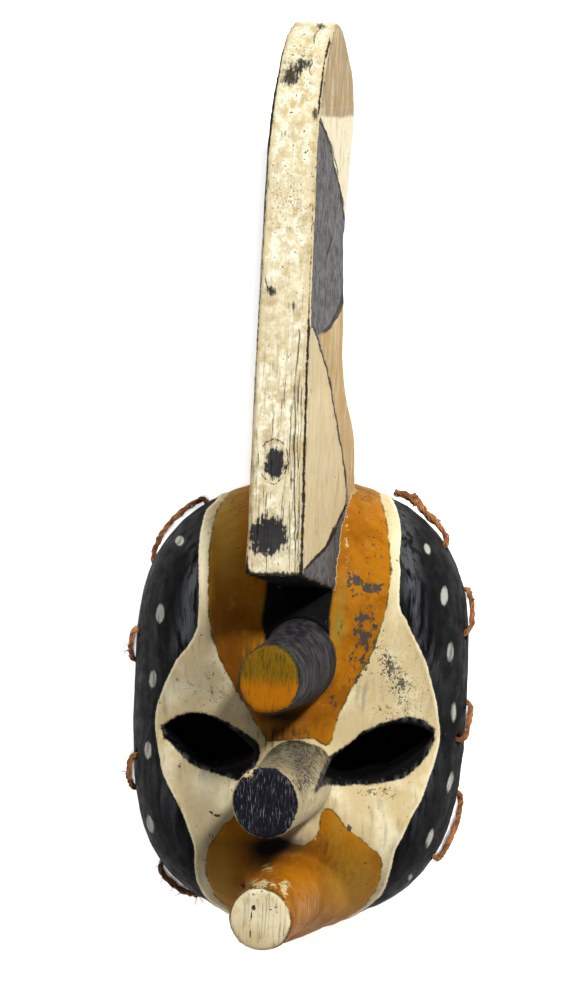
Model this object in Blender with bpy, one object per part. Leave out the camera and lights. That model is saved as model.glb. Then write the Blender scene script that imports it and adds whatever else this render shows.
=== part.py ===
"""Carved wooden yam mask, lying on its back: a hollow face shell with a tall knife blade and three pegs, all one
block of wood, and two lengths of fibre cord laced through its rim. Metres, +Z up out of the face, +Y towards the
tip of the blade, +X to the viewer's right. Sizes are measured from the middle of the rim and its resting plane."""

import math

import bmesh
import bpy
from mathutils import Vector

# Face shell
FACE_HALF_WIDTH = 0.0914
TOP_REACH = 0.1255
CHIN_REACH = 0.1248
TOP_DRIFT = 0.0023
CHIN_DRIFT = 0.0020
FACE_DEPTH = 0.0880
RIM_WALL = 0.0095
FRONT_WALL = 0.0120
RIM_LIFT = 0.0072
REST_HALF_ANGLE = 13.5
REST_RAMP_ANGLE = 5.5
TOP_OUTLINE_POWER = 2.31
SHOULDER_POWER = 1.20
JAW_OUTLINE_POWER = 2.42
CHIN_POINT = 1.05
SIDE_SECTION = (2.0, 1.5)
TOP_SECTION = (3.2, 3.2)
CHIN_SECTION = (2.8, 2.8)

# Flat cheek planes that slope away on both sides of the middle
CHEEK_START = 0.0180
CHEEK_DROP = 0.0060
CHEEK_SLOPE = 32.7
CHEEK_LEVEL = -0.0100
CHEEK_SPREAD = 0.19
CREASE_BLEND = 0.0035

# Eye slits: inner and outer corner, and how far the lids bow away from the line between them
LEFT_EYE = {"inner": (-0.0167, -0.0155), "outer": (-0.0700, -0.0100), "upper": 0.0135, "lower": 0.0115}
RIGHT_EYE = {"inner": (0.0152, -0.0225), "outer": (0.0722, -0.0068), "upper": 0.0142, "lower": 0.0100}
EYE_CUT_TILT = 12.0
EYE_CUT_REACH = FRONT_WALL * 2.2
EYE_STEPS = 9
LID_LEAN = 1.15
LID_FULLNESS = 0.85

# The blade and the pegs stand in one plane, turned towards the viewer's left
KEEL_SKEW = 11.0
KEEL_X = 0.0035
BLADE_RISE = 0.0620

# Blade: reach past the top of the rim, thicknesses, foot, and its back edge as shares of reach and height
BLADE_REACH = 0.2195
BLADE_FOOT_INSET = 0.0480
BLADE_FOOT_UNDERCUT = 0.0095
BLADE_ROOT_THICKNESS = 0.0268
BLADE_WAIST_THICKNESS = 0.0248
BLADE_TIP_THICKNESS = 0.0218
BLADE_BOW = 0.0008
BLADE_WAIST_SHARE = 0.333
BLADE_HEEL_INSET = RIM_WALL * 1.5
BLADE_BANDS = 12
BLADE_EDGE_BEVEL = 0.0011
BLADE_FRONT_EDGE = ((0.680, 1.000), (0.760, 0.983), (0.830, 0.955), (0.900, 0.912), (0.960, 0.850), (0.996, 0.775))
BLADE_BACK_EDGE = ((0.997, 0.720), (0.970, 0.635), (0.930, 0.555), (0.880, 0.510), (0.800, 0.494), (0.710, 0.513),
                   (0.630, 0.537), (0.545, 0.569), (0.440, 0.539), (0.335, 0.522), (0.225, 0.485), (0.180, 0.430),
                   (0.128, 0.325), (0.060, 0.280), (-0.010, 0.260))

# Pegs: rise above the crown, half sizes at the end and at the root, how far the root lies up the face from the
# end, how far the end and the root stand off the keel, the root's depth below the crown, and the foot's flare
FOREHEAD_PEG = {"rise": 0.0620, "end": (0.0147, 0.0165), "root": (0.0205, 0.0235), "up": 0.0055,
                "end_off": 0.0, "root_off": -0.0015, "depth": 0.0200, "flare": 1.5}
NOSE_PEG = {"rise": 0.0540, "end": (0.0162, 0.0168), "root": (0.0202, 0.0275), "up": 0.0080,
            "end_off": -0.0011, "root_off": 0.0, "depth": 0.0240, "flare": 2.6}
CHIN_PEG = {"rise": 0.0440, "end": (0.0153, 0.0150), "root": (0.0350, 0.0330), "up": 0.0080,
            "end_off": -0.0036, "root_off": -0.0030, "depth": 0.0480, "flare": 2.2}
FOREHEAD_PEG_INSET = 0.0966
NOSE_PEG_INSET = 0.1552
CHIN_PEG_INSET = 0.0378
PEG_EDGE_BEVEL = 0.0010
PEG_SIDES = 28
PEG_RINGS = 6

# Fibre lacing: its holes, as angles clockwise from the top of the rim, each with the reach of its stitch
CORD_DIAMETER = 0.0034
CORD_CLEARANCE = 0.0009
HOLE_DIAMETER = 0.0062
HOLE_HEIGHT = 0.0125
STITCH_BULGE = 0.0012
RIGHT_STITCHES = ((134.0, 19.0), (97.0, 12.0), (62.0, 11.0), (38.5, 13.0))
LEFT_STITCHES = ((-27.0, 21.0), (-66.0, 11.0), (-108.0, 11.0), (-141.0, 16.0))
HOLE_SIDES = 10
HOLE_CUT_LENGTH = RIM_WALL * 3.0
KNOT_AWAY = 11.0
KNOT_SWELL = 2.1
KNOT_LIFT = 1.2
KNOT_OFFSET = 1.15
TAIL_TURN = 4.0
TAIL_LIFT = 1.3
HOLE_APPROACH = ((4.5, -1.4), (1.0, -1.3))
HOLE_LEAVING = (-1.0, 1.2)
CORD_INSIDE_OFFSET = 1.35
CORD_INSIDE_STEP = 9.0
CORD_STEP = CORD_DIAMETER * 2.4

# A stitch: shares of its reach with its drop down the rim, then with its turn round the rim's edge, and its end
STITCH_DROPS = ((0.32, 0.10), (0.62, 0.48))
STITCH_TURNS = ((0.86, 10.0), (0.93, 50.0), (0.98, 88.0), (1.02, 92.0), (1.07, 130.0), (1.14, 172.0))
STITCH_END = (1.3, 0.3)
LEFT_KNOT_SHARE = 1.9

# The loose end outside the rim: share of the stitch's reach, share of the hole's height, offset from the wall
OUTER_END = ((0.35, 0.9, 1.4), (0.7, 0.8, 1.3), (1.0, 0.7, 2.0), (1.4, 0.8, 1.4))

# How finely the curved forms are divided
AROUND = 72
OUTER_RINGS = 16
INNER_RINGS = 10

CROWN = FACE_DEPTH
BLADE_FRONT_Z = FACE_DEPTH + BLADE_RISE
SKEW = math.tan(math.radians(KEEL_SKEW))


def clear_scene():
    for old in list(bpy.data.objects):
        bpy.data.objects.remove(old)


def material(name, colour, roughness):
    made = bpy.data.materials.new(name)
    made.use_nodes = True
    shader = made.node_tree.nodes["Principled BSDF"]
    shader.inputs["Base Color"].default_value = (*colour, 1.0)
    shader.inputs["Roughness"].default_value = roughness
    shader.inputs["Metallic"].default_value = 0.0
    return made


def add_object(name, bm, surface=None):
    bmesh.ops.recalc_face_normals(bm, faces=bm.faces)
    mesh = bpy.data.meshes.new(name)
    bm.to_mesh(mesh)
    bm.free()
    made = bpy.data.objects.new(name, mesh)
    bpy.context.scene.collection.objects.link(made)
    if surface:
        mesh.materials.append(surface)
    return made


def as_tool(tool):
    tool.hide_render = True
    tool.display_type = "WIRE"
    return tool


def combine(target, tool, operation):
    as_tool(tool)
    step = target.modifiers.new(tool.name, "BOOLEAN")
    step.operation = operation
    step.solver = "EXACT"
    step.object = tool


def smooth_step(t):
    t = min(1.0, max(0.0, t))
    return t * t * (3.0 - 2.0 * t)


def smooth_min(a, b, blend):
    share = max(0.0, blend - abs(a - b)) / blend
    return min(a, b) - share * share * blend / 4.0


def keel_x(z):
    """Middle plane of the blade and the pegs, at a height."""
    return KEEL_X - (z - CROWN) * SKEW


# Shell surfaces

def outline(angle):
    """Distance from the middle of the face to the rim's outer edge, by angle clockwise from the top."""
    side = abs(math.sin(angle))
    up = math.cos(angle)
    if up > 0.0:
        reach = TOP_REACH
        power = TOP_OUTLINE_POWER + SHOULDER_POWER * side * side
    else:
        reach = CHIN_REACH
        power = JAW_OUTLINE_POWER - CHIN_POINT * up ** 6
    return ((side / FACE_HALF_WIDTH) ** power + (abs(up) / reach) ** power) ** (-1.0 / power)


def section_powers(angle):
    side = math.sin(angle) ** 2
    end = TOP_SECTION if math.cos(angle) > 0.0 else CHIN_SECTION
    return tuple(side * flank + (1.0 - side) * tip for flank, tip in zip(SIDE_SECTION, end))


def lean(x, y):
    """The carver's eye wandered: the top of the face drifts to the right and the chin a little to the left."""
    if y > 0.0:
        return x + TOP_DRIFT * (y / TOP_REACH) ** 3
    return x + CHIN_DRIFT * (y / CHIN_REACH) ** 3


def cheek_height(x, y, inset):
    away = abs(x) - CHEEK_START
    spread = CHEEK_SPREAD * abs(y - CHEEK_LEVEL)
    return CROWN - CHEEK_DROP - inset - away * math.tan(math.radians(CHEEK_SLOPE)) + spread


def shell_point(angle, climb, wall, front):
    """A point of the shell: climb runs from 0 at the resting plane to a quarter turn at the crown."""
    across, up = section_powers(angle)
    radius = (outline(angle) - wall) * math.cos(climb) ** (2.0 / across)
    z = (FACE_DEPTH - front) * math.sin(climb) ** (2.0 / up)
    x = radius * math.sin(angle)
    y = radius * math.cos(angle)
    z = smooth_min(z, cheek_height(x, y, front), CREASE_BLEND)
    return Vector((lean(x, y), y, z))


def wall_radius(angle, z, wall, front):
    """Distance of the shell's side wall from the middle at a height near the rim."""
    across, up = section_powers(angle)
    share = 1.0 - (max(z, 0.0) / (FACE_DEPTH - front)) ** up
    return (outline(angle) - wall) * share ** (1.0 / across)


def rim_height(angle):
    """The rim rests at the top and at the chin, and lifts clear of the ground along both sides."""
    turned = math.degrees(angle) % 180.0
    away = min(turned, 180.0 - turned)
    return RIM_LIFT * smooth_step((away - REST_HALF_ANGLE) / REST_RAMP_ANGLE)


def loft(rings, close_first, close_last):
    """A closed body through rings of equal length."""
    bm = bmesh.new()
    made = [[bm.verts.new(point) for point in ring] for ring in rings]
    count = len(made[0])
    for low, high in zip(made, made[1:]):
        for i in range(count):
            bm.faces.new((low[i], low[(i + 1) % count], high[(i + 1) % count], high[i]))
    for ring, apex in ((made[0], close_first), (made[-1], close_last)):
        if apex is None:
            bm.faces.new(ring)
            continue
        tip = bm.verts.new(apex)
        for i in range(count):
            bm.faces.new((ring[i], ring[(i + 1) % count], tip))
    return bm


def around():
    return [math.tau * i / AROUND for i in range(AROUND)]


def shell_block(surface):
    """The shell before it is hollowed, with the rim's underside ready made."""
    rim_inside = []
    for angle in around():
        radius = outline(angle) - RIM_WALL - FRONT_WALL
        x = radius * math.sin(angle)
        y = radius * math.cos(angle)
        rim_inside.append(Vector((lean(x, y), y, rim_height(angle))))
    rings = [rim_inside]
    for step in range(OUTER_RINGS):
        ring = []
        for angle in around():
            up = section_powers(angle)[1]
            start = math.asin((rim_height(angle) / FACE_DEPTH) ** (up / 2.0))
            climb = start + (math.pi / 2.0 - start) * step / OUTER_RINGS
            ring.append(shell_point(angle, climb, 0.0, 0.0))
        rings.append(ring)
    crown = Vector((0.0, 0.0, CROWN))
    return add_object("carved_mask", loft(rings, Vector((0.0, 0.0, RIM_WALL)), crown), surface)


def cavity():
    """The hollow that a face goes into, open below the rim."""
    rings = []
    below = []
    for angle in around():
        foot = shell_point(angle, 0.0, RIM_WALL, FRONT_WALL)
        below.append(Vector((foot.x, foot.y, -FRONT_WALL)))
    rings.append(below)
    for step in range(INNER_RINGS):
        climb = math.pi / 2.0 * step / INNER_RINGS
        rings.append([shell_point(angle, climb, RIM_WALL, FRONT_WALL) for angle in around()])
    return add_object("hollow", loft(rings, None, Vector((0.0, 0.0, FACE_DEPTH - FRONT_WALL))))


def eye_cutter(name, eye):
    """An almond prism through the cheek, tilted so that its lower wall shows from the front."""
    inner = Vector(eye["inner"])
    outer = Vector(eye["outer"])
    chord = outer - inner
    lids = []
    for i in range(EYE_STEPS + 1):
        share = i / EYE_STEPS
        lids.append((share, eye["upper"] * math.sin(math.pi * share ** LID_LEAN) ** LID_FULLNESS))
    for i in range(EYE_STEPS - 1, 0, -1):
        share = i / EYE_STEPS
        lids.append((share, -eye["lower"] * math.sin(math.pi * share) ** LID_FULLNESS))
    tilt = math.tan(math.radians(EYE_CUT_TILT))
    rings = []
    for travel in (-EYE_CUT_REACH, EYE_CUT_REACH):
        ring = []
        for share, bow in lids:
            spot = inner + chord * share
            z = cheek_height(spot.x, spot.y, 0.0) + travel
            ring.append(Vector((spot.x, spot.y + bow - travel * tilt, z)))
        rings.append(ring)
    return add_object(name, loft(rings, None, None))


# Blade and pegs

def smooth_line(points, steps):
    """Points along a smooth curve through the given ones."""
    ends = [points[0] * 2.0 - points[1], *points, points[-1] * 2.0 - points[-2]]
    line = []
    for i in range(1, len(ends) - 2):
        a, b, c, d = ends[i - 1:i + 3]
        count = steps(b, c)
        for k in range(count):
            t = k / count
            line.append(0.5 * (2.0 * b + (c - a) * t + (2.0 * a - 5.0 * b + 4.0 * c - d) * t * t
                               + (3.0 * b - a - 3.0 * c + d) * t * t * t))
    line.append(points[-1])
    return line


def blade_half_thickness(y):
    foot = TOP_REACH - BLADE_FOOT_INSET
    waist = TOP_REACH + BLADE_REACH * BLADE_WAIST_SHARE
    tip = TOP_REACH + BLADE_REACH
    if y < waist:
        share = (y - foot) / (waist - foot)
        return (BLADE_ROOT_THICKNESS + (BLADE_WAIST_THICKNESS - BLADE_ROOT_THICKNESS) * share) / 2.0
    share = (y - waist) / (tip - waist)
    return (BLADE_WAIST_THICKNESS + (BLADE_TIP_THICKNESS - BLADE_WAIST_THICKNESS) * share) / 2.0


def blade():
    """The knife blade: its side outline, given thickness across the keel plane."""
    def spot(share, height):
        return Vector((TOP_REACH + BLADE_REACH * share, BLADE_FRONT_Z * height))

    def twice(a, b):
        return 2

    foot_y = TOP_REACH - BLADE_FOOT_INSET
    root_z = CROWN - FRONT_WALL
    side = [Vector((foot_y - BLADE_FOOT_UNDERCUT, root_z)), Vector((foot_y, BLADE_FRONT_Z))]
    side += smooth_line([spot(*pair) for pair in BLADE_FRONT_EDGE], twice)
    side += smooth_line([spot(*pair) for pair in BLADE_BACK_EDGE], twice)
    side.append(Vector((TOP_REACH - BLADE_HEEL_INSET, BLADE_FRONT_Z * BLADE_BACK_EDGE[-1][1])))
    half = BLADE_ROOT_THICKNESS / 2.0
    bm = bmesh.new()
    base = bm.faces.new([bm.verts.new((-half, y, z)) for y, z in side])
    grown = bmesh.ops.extrude_face_region(bm, geom=[base])
    far = [item for item in grown["geom"] if isinstance(item, bmesh.types.BMVert)]
    bmesh.ops.translate(bm, verts=far, vec=(2.0 * half, 0.0, 0.0))
    bmesh.ops.recalc_face_normals(bm, faces=bm.faces)
    rims = [edge for edge in bm.edges if abs(edge.verts[0].co.x - edge.verts[1].co.x) < half]
    bmesh.ops.bevel(bm, geom=rims, offset=BLADE_EDGE_BEVEL, segments=1, profile=0.5, affect="EDGES", material=-1)
    for k in range(1, BLADE_BANDS):
        middle = Vector((0.0, foot_y + (BLADE_FOOT_INSET + BLADE_REACH) * k / BLADE_BANDS, 0.0))
        geometry = bm.verts[:] + bm.edges[:] + bm.faces[:]
        bmesh.ops.bisect_plane(bm, geom=geometry, dist=1e-6, plane_co=middle, plane_no=(0.0, 1.0, 0.0))
    for vert in bm.verts:
        along = (vert.co.y - foot_y) / (BLADE_FOOT_INSET + BLADE_REACH)
        bow = BLADE_BOW * math.sin(math.pi * min(1.0, max(0.0, along)))
        vert.co.x = keel_x(vert.co.z) - bow + vert.co.x * blade_half_thickness(vert.co.y) / half
    return add_object("blade", bm)


def ellipse(centre, half, z, tilt):
    """A ring round a centre, its plane sloped sideways by a tilt."""
    ring = []
    for i in range(PEG_SIDES):
        angle = math.tau * i / PEG_SIDES
        x = half[0] * math.cos(angle)
        ring.append(Vector((centre[0] + x, centre[1] + half[1] * math.sin(angle), z + x * tilt)))
    return ring


def peg(name, size, y):
    """A round peg along the keel, flared where it grows out of the face, with its end square to it."""
    end_z = CROWN + size["rise"]
    root_z = CROWN - size["depth"]
    rings = []
    for i in range(PEG_RINGS + 1):
        share = i / PEG_RINGS
        swell = (1.0 - share) ** size["flare"]
        z = root_z + (end_z - root_z) * share
        half = [end + (root - end) * swell for end, root in zip(size["end"], size["root"])]
        x = keel_x(z) + size["end_off"] + (size["root_off"] - size["end_off"]) * swell
        if i == PEG_RINGS:
            z -= PEG_EDGE_BEVEL
        rings.append(ellipse((x, y + size["up"] * swell), half, z, SKEW * share))
    narrowed = [end - PEG_EDGE_BEVEL for end in size["end"]]
    rings.append(ellipse((keel_x(end_z) + size["end_off"], y), narrowed, end_z, SKEW))
    return add_object(name, loft(rings, None, None))


# Fibre lacing

def hole_cutter(name, angle):
    """A hole bored straight through the rim's wall."""
    z = rim_height(angle) + HOLE_HEIGHT
    outward = Vector((math.sin(angle), math.cos(angle), 0.0))
    radius = wall_radius(angle, z, 0.0, 0.0) - RIM_WALL / 2.0
    middle = Vector((lean(radius * outward.x, radius * outward.y), radius * outward.y, z))
    bm = bmesh.new()
    bmesh.ops.create_cone(bm, cap_ends=True, segments=HOLE_SIDES, radius1=HOLE_DIAMETER / 2.0,
                          radius2=HOLE_DIAMETER / 2.0, depth=HOLE_CUT_LENGTH)
    turn = Vector((0.0, 0.0, 1.0)).rotation_difference(outward).to_matrix()
    bmesh.ops.rotate(bm, verts=bm.verts, matrix=turn, cent=(0.0, 0.0, 0.0))
    bmesh.ops.translate(bm, verts=bm.verts, vec=middle)
    return add_object(name, bm)


def beside_wall(angle, z, offset):
    """A point off the rim's wall: outside it for a positive offset, inside it for a negative one."""
    if offset > 0.0:
        radius = wall_radius(angle, z, 0.0, 0.0) + offset
    else:
        radius = wall_radius(angle, z, RIM_WALL, FRONT_WALL) + offset
    y = radius * math.cos(angle)
    return Vector((lean(radius * math.sin(angle), y), y, z))


def round_edge(angle, turn, radius):
    """A point on an arc under the rim, round its outer edge and then round its inner one."""
    wall, front = (0.0, 0.0) if turn <= 90.0 else (RIM_WALL, FRONT_WALL)
    reach = wall_radius(angle, rim_height(angle), wall, front) + radius * math.cos(math.radians(turn))
    z = rim_height(angle) - radius * math.sin(math.radians(turn))
    y = reach * math.cos(angle)
    return Vector((lean(reach * math.sin(angle), y), y, z))


def through_hole(angle, away):
    """From along the inner wall, through a hole and out."""
    z = rim_height(math.radians(angle)) + HOLE_HEIGHT
    inner = beside_wall(math.radians(angle), z, -1e-6)
    outer = beside_wall(math.radians(angle), z, 1e-6)
    before = [beside_wall(math.radians(angle + turn), z, away * offset) for turn, offset in HOLE_APPROACH]
    turn, offset = HOLE_LEAVING
    return before + [inner, (inner + outer) / 2.0, outer, beside_wall(math.radians(angle + turn), z, away * offset)]


def stitch(angle, reach, away):
    """Out of a hole, along the outside of the rim, under its edge and back in."""
    z = rim_height(math.radians(angle)) + HOLE_HEIGHT
    route = through_hole(angle, away)
    for share, drop in STITCH_DROPS:
        low = z - (HOLE_HEIGHT - away) * drop
        route.append(beside_wall(math.radians(angle - reach * share), low, away + STITCH_BULGE))
    for share, turn in STITCH_TURNS:
        route.append(round_edge(math.radians(angle - reach * share), turn, away))
    share, drop = STITCH_END
    route.append(beside_wall(math.radians(angle - reach * share), z - HOLE_HEIGHT * drop, -away * CORD_INSIDE_OFFSET))
    return route


def inside_run(start, end, away):
    """Along the inside of the rim from one stitch to the next hole."""
    span = end - start
    count = max(1, round(abs(span) / CORD_INSIDE_STEP))
    route = []
    for i in range(1, count):
        angle = math.radians(start + span * i / count)
        route.append(beside_wall(angle, rim_height(angle) + HOLE_HEIGHT, -away * CORD_INSIDE_OFFSET))
    return route


def knot_and_tail(angle, away, tail_turn):
    """The middle of a knot that sits against the inside of the rim, and the end of the short tail beyond it."""
    knot = math.radians(angle)
    tail = math.radians(angle + tail_turn)
    return [beside_wall(knot, rim_height(knot) + HOLE_HEIGHT * KNOT_LIFT, -away * KNOT_SWELL * KNOT_OFFSET),
            beside_wall(tail, rim_height(tail) + HOLE_HEIGHT * TAIL_LIFT, -away * KNOT_SWELL)]


def lacing(name, stitches, outer_end, surface):
    """One length of cord, stitched from hole to hole, with a swollen knot at each end."""
    away = CORD_DIAMETER / 2.0 + CORD_CLEARANCE
    route = list(reversed(knot_and_tail(stitches[0][0] + KNOT_AWAY, away, TAIL_TURN)))
    for (hole, reach), (following, _) in zip(stitches, stitches[1:]):
        route += stitch(hole, reach, away)
        route += inside_run(hole - reach * STITCH_END[0], following + HOLE_APPROACH[0][0], away)
    hole, reach = stitches[-1]
    if outer_end:
        route += through_hole(hole, away)
        for share, height, offset in OUTER_END:
            angle = math.radians(hole - reach * share)
            route.append(beside_wall(angle, rim_height(angle) + HOLE_HEIGHT * height, away * offset))
    else:
        route += stitch(hole, reach, away)
        route += knot_and_tail(hole - reach * LEFT_KNOT_SHARE, away, -TAIL_TURN)

    def by_length(a, b):
        return max(1, round((b - a).length / CORD_STEP))

    line = smooth_line(route, by_length)
    curve = bpy.data.curves.new(name, "CURVE")
    curve.dimensions = "3D"
    curve.bevel_depth = CORD_DIAMETER / 2.0
    curve.bevel_resolution = 2
    curve.use_fill_caps = True
    spline = curve.splines.new("POLY")
    spline.points.add(len(line) - 1)
    knots = (1, len(line) - 2)
    for i, point in enumerate(line):
        spline.points[i].co = (*point, 1.0)
        near = min(abs(i - knot) for knot in knots)
        spline.points[i].radius = KNOT_SWELL if near == 0 else 1.0
    made = bpy.data.objects.new(name, curve)
    made.data.materials.append(surface)
    bpy.context.scene.collection.objects.link(made)
    print(name, "points", len(line))
    return made


def centre_on_base(nodes):
    """Puts the middle of the whole thing's lowest level at the world's origin."""
    graph = bpy.context.evaluated_depsgraph_get()
    low = Vector((1.0, 1.0, 1.0))
    high = -low
    for node in nodes:
        shaped = node.evaluated_get(graph)
        mesh = shaped.to_mesh()
        for vert in mesh.vertices:
            spot = shaped.matrix_world @ vert.co
            low = Vector(map(min, low, spot))
            high = Vector(map(max, high, spot))
        shaped.to_mesh_clear()
    shift = Vector((-(low.x + high.x) / 2.0, -(low.y + high.y) / 2.0, -low.z))
    for item in bpy.data.objects:
        item.location += shift
    print("shift", [round(value, 5) for value in shift], "size", [round(value, 4) for value in high - low])


def main():
    clear_scene()
    wood = material("painted_wood", (0.55, 0.47, 0.33), 0.62)
    fibre = material("plant_fibre", (0.27, 0.13, 0.05), 0.85)
    mask = shell_block(wood)
    combine(mask, blade(), "UNION")
    combine(mask, peg("forehead_peg", FOREHEAD_PEG, TOP_REACH - FOREHEAD_PEG_INSET), "UNION")
    combine(mask, peg("nose_peg", NOSE_PEG, TOP_REACH - NOSE_PEG_INSET), "UNION")
    combine(mask, peg("chin_peg", CHIN_PEG, CHIN_PEG_INSET - CHIN_REACH), "UNION")
    combine(mask, cavity(), "DIFFERENCE")
    combine(mask, eye_cutter("left_eye", LEFT_EYE), "DIFFERENCE")
    combine(mask, eye_cutter("right_eye", RIGHT_EYE), "DIFFERENCE")
    for i, (angle, _) in enumerate(RIGHT_STITCHES + LEFT_STITCHES):
        combine(mask, hole_cutter(f"lacing_hole_{i + 1}", math.radians(angle)), "DIFFERENCE")
    mask.data.shade_smooth()
    mask.data.set_sharp_from_angle(angle=math.radians(35.0))
    right = lacing("rim_lacing_right", RIGHT_STITCHES, True, fibre)
    left = lacing("rim_lacing_left", LEFT_STITCHES, False, fibre)
    centre_on_base((mask, right, left))


main()
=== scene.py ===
import math
import random
from functools import partial, reduce

import bmesh
import bpy
import numpy as np
from mathutils import Matrix, Vector, noise


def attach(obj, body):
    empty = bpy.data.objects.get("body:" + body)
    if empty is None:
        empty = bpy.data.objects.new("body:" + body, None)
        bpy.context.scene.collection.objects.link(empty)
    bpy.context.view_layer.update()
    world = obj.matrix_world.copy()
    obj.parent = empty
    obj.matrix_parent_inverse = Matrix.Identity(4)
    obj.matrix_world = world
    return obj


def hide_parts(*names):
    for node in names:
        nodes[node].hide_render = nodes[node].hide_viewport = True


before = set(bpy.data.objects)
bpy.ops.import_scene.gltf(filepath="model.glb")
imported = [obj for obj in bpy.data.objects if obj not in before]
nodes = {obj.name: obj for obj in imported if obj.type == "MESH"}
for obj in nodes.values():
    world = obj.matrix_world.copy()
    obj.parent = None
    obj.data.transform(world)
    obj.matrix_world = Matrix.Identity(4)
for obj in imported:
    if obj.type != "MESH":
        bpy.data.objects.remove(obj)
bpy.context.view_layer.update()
scene = bpy.context.scene
print("frame loaded")

# The mask's own numbers are taken from the middle of its rim, which stands here
faceMiddle = np.array((0.00007, -0.10977, 0.0))

# Camera: looks down on the mask, a little from the right
shot = {
    "spot": (0.04307, 0.00323, 0.985),
    "turn": 3.0,      # degrees off straight down
    "roll": 2.6,
    "lens": 64.8,
    "sensor": 36.0,
    "picture": (587, 1000),
    "gamma": 0.88,
}


def cameraAxes():
    turn, roll = math.radians(shot["turn"]), math.radians(shot["roll"])
    level = Vector((math.cos(turn), 0.0, -math.sin(turn)))
    along = Vector((0.0, 1.0, 0.0))
    right = level * math.cos(roll) + along * math.sin(roll)
    up = along * math.cos(roll) - level * math.sin(roll)
    return right, up, right.cross(up)


def placed(name, data):
    made = bpy.data.objects.new(name, data)
    scene.collection.objects.link(made)
    return made


def placeCamera():
    right, up, back = cameraAxes()
    data = bpy.data.cameras.new("camera")
    data.lens = shot["lens"]
    data.sensor_width = shot["sensor"]
    data.clip_start, data.clip_end = 0.05, 20.0
    scene.camera = placed("camera", data)
    turned = Matrix((right, up, back)).transposed()
    scene.camera.matrix_world = Matrix.Translation(shot["spot"]) @ turned.to_4x4()


placeCamera()
scene.view_settings.view_transform = "Standard"
scene.view_settings.gamma = shot["gamma"]


def onPicture(spots):
    # where points of the object are seen in the picture, in its dots from the top left corner
    right, up, back = (np.array(axis) for axis in cameraAxes())
    off = spots - np.array(shot["spot"])
    depth = -(off @ back)
    wide, tall = shot["picture"]
    reach = shot["lens"] / shot["sensor"] * max(wide, tall)
    return wide / 2 + reach * (off @ right) / depth, tall / 2 - reach * (off @ up) / depth


# Form of the shell, as the wood was cut
shell = {
    "halfWidth": 0.0914, "topReach": 0.1255, "chinReach": 0.1248,
    "topDrift": 0.0023, "chinDrift": 0.0020, "depth": 0.0880,
    "rimWall": 0.0095, "frontWall": 0.0120,
    "rimLift": 0.0072, "restHalfAngle": 13.5, "restRampAngle": 5.5,
    "topPower": 2.31, "shoulderPower": 1.20, "jawPower": 2.42, "chinPoint": 1.05,
    "sideSection": (2.0, 1.5), "topSection": (3.2, 3.2), "chinSection": (2.8, 2.8),
    "cheekStart": 0.0180, "cheekDrop": 0.0060, "cheekSlope": 32.7, "cheekLevel": -0.0100, "cheekSpread": 0.19,
}
keel = {"x": 0.0035, "slope": math.tan(math.radians(11.0))}


def keelX(z):
    return keel["x"] - (z - shell["depth"]) * keel["slope"]


def rimReach(angle):
    side, up = np.abs(np.sin(angle)), np.cos(angle)
    reach = np.where(up > 0, shell["topReach"], shell["chinReach"])
    power = np.where(up > 0, shell["topPower"] + shell["shoulderPower"] * side ** 2,
                     shell["jawPower"] - shell["chinPoint"] * up ** 6)
    return ((side / shell["halfWidth"]) ** power + (np.abs(up) / reach) ** power) ** (-1.0 / power)


def sectionPowers(angle):
    side = np.sin(angle) ** 2
    top, chin, flank = shell["topSection"], shell["chinSection"], shell["sideSection"]
    return [side * flank[i] + (1 - side) * np.where(np.cos(angle) > 0, top[i], chin[i]) for i in (0, 1)]


def leanOff(y):
    # how far the face has drifted sideways at a height
    return np.where(y > 0, shell["topDrift"] * (y / shell["topReach"]) ** 3,
                    shell["chinDrift"] * (y / shell["chinReach"]) ** 3)


def wallReach(angle, z, wall, front):
    across, up = sectionPowers(angle)
    share = 1 - np.minimum(1.0, np.maximum(z, 0.0) / (shell["depth"] - front)) ** up
    return (rimReach(angle) - wall) * share ** (1.0 / across)


def cheekHeight(x, y, inset):
    fall = (np.abs(x) - shell["cheekStart"]) * math.tan(math.radians(shell["cheekSlope"]))
    spread = shell["cheekSpread"] * np.abs(y - shell["cheekLevel"])
    return shell["depth"] - shell["cheekDrop"] - inset - fall + spread


def shellHeight(x, y):
    # height of the face's outside over a point of the ground, without blade and pegs
    x = x - leanOff(y)
    angle = np.arctan2(x, y)
    across, up = sectionPowers(angle)
    share = np.clip(1 - (np.hypot(x, y) / rimReach(angle)) ** across, 0.0, 1.0)
    dome = shell["depth"] * share ** (1.0 / up)
    return np.minimum(dome, cheekHeight(x, y, 0.0))


def rimHeight(turn):
    turned = turn % 180.0
    away = min(turned, 180.0 - turned)
    t = min(1.0, max(0.0, (away - shell["restHalfAngle"]) / shell["restRampAngle"]))
    return shell["rimLift"] * t * t * (3 - 2 * t)


# Small mesh helpers
def meshPiece(name, bm):
    mesh = bpy.data.meshes.new(name)
    bm.to_mesh(mesh)
    bm.free()
    return placed(name, mesh)


def mergedCopy(node, name):
    bm = bmesh.new()
    bm.from_mesh(node.data)
    bmesh.ops.remove_doubles(bm, verts=bm.verts, dist=1e-6)
    return meshPiece(name, bm)


def applyModifiers(piece):
    graph = bpy.context.evaluated_depsgraph_get()
    mesh = bpy.data.meshes.new_from_object(piece.evaluated_get(graph))
    piece.modifiers.clear()
    old = piece.data
    piece.data = mesh
    bpy.data.meshes.remove(old)


def readVertices(mesh, what):
    values = np.empty(len(mesh.vertices) * 3)
    mesh.vertices.foreach_get(what, values)
    return values.reshape(-1, 3)


def writeSpots(mesh, spots):
    mesh.vertices.foreach_set("co", spots.ravel())
    mesh.update()


def setAttribute(mesh, name, values):
    made = mesh.attributes.new(name, "FLOAT", "POINT")
    made.data.foreach_set("value", np.asarray(values, np.float32))


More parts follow.
